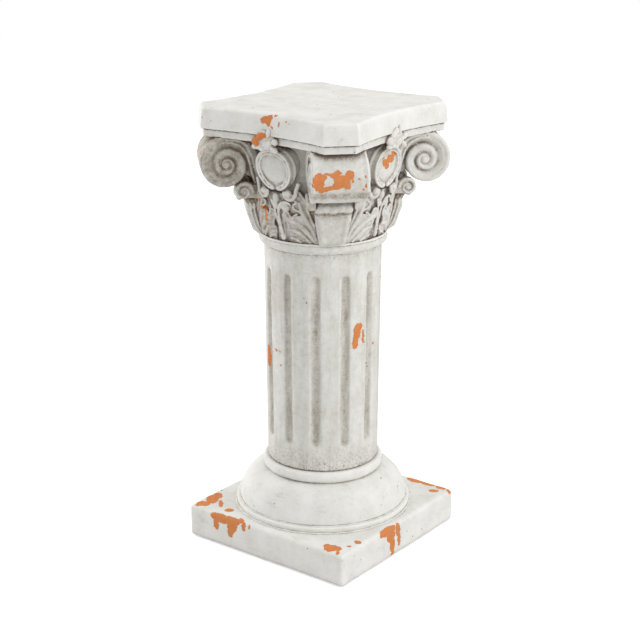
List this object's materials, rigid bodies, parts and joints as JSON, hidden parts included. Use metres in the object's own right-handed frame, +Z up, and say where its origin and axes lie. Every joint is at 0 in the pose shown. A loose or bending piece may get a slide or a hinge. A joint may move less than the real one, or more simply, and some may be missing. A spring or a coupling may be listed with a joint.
{
  "type": "pedestal column stand",
  "caption": "Hollow cast-stone pedestal: square plinth, round moulded base, fluted column, scrolled leafy capital and a flat square top with concave sides.",
  "frame": {"origin": "centre of the plinth's underside, on the floor", "axes": "+Z up along the column's axis; -Y is the front face of the plinth and +X its right face"},
  "size_m": [0.2658, 0.2658, 0.57],
  "materials": {
    "plinth": "matt antique-white wash with worn terracotta patches",
    "base": "matt antique-white wash",
    "shaft": "matt antique-white wash with grey dirt in the flutes",
    "bell": "matt wash, dark with dirt in the recesses",
    "ornament": "matt antique-white wash with grey-brown dirt in the carving",
    "abacus": "matt antique-white wash"
  },
  "bodies": {
    "root": {"plinth": "plinth", "base_fillet": "base", "base_ovolo": "base", "base_ring": "base", "shaft": "shaft", "neck_ring": "shaft", "capital_bell": "bell", "abacus_bed": "abacus", "abacus_slab": "abacus", "volute_front_right": "ornament", "volute_back_right": "ornament", "volute_back_left": "ornament", "volute_front_left": "ornament", "leaf_front_right": "ornament", "leaf_back_right": "ornament", "leaf_back_left": "ornament", "leaf_front_left": "ornament", "cartouche_front": "ornament", "cartouche_right": "ornament", "cartouche_back": "ornament", "cartouche_left": "ornament", "fleuron_front": "ornament", "fleuron_right": "ornament", "fleuron_back": "ornament", "fleuron_left": "ornament", "stem_front": "ornament", "stem_right": "ornament", "stem_back": "ornament", "stem_left": "ornament", "acanthus_front_l": "ornament", "acanthus_front_r": "ornament", "acanthus_right_l": "ornament", "acanthus_right_r": "ornament", "acanthus_back_l": "ornament", "acanthus_back_r": "ornament", "acanthus_left_l": "ornament", "acanthus_left_r": "ornament", "helix_front_l": "ornament", "helix_front_r": "ornament", "helix_right_l": "ornament", "helix_right_r": "ornament", "helix_back_l": "ornament", "helix_back_r": "ornament", "helix_left_l": "ornament", "helix_left_r": "ornament"}
  },
  "joints": []
}
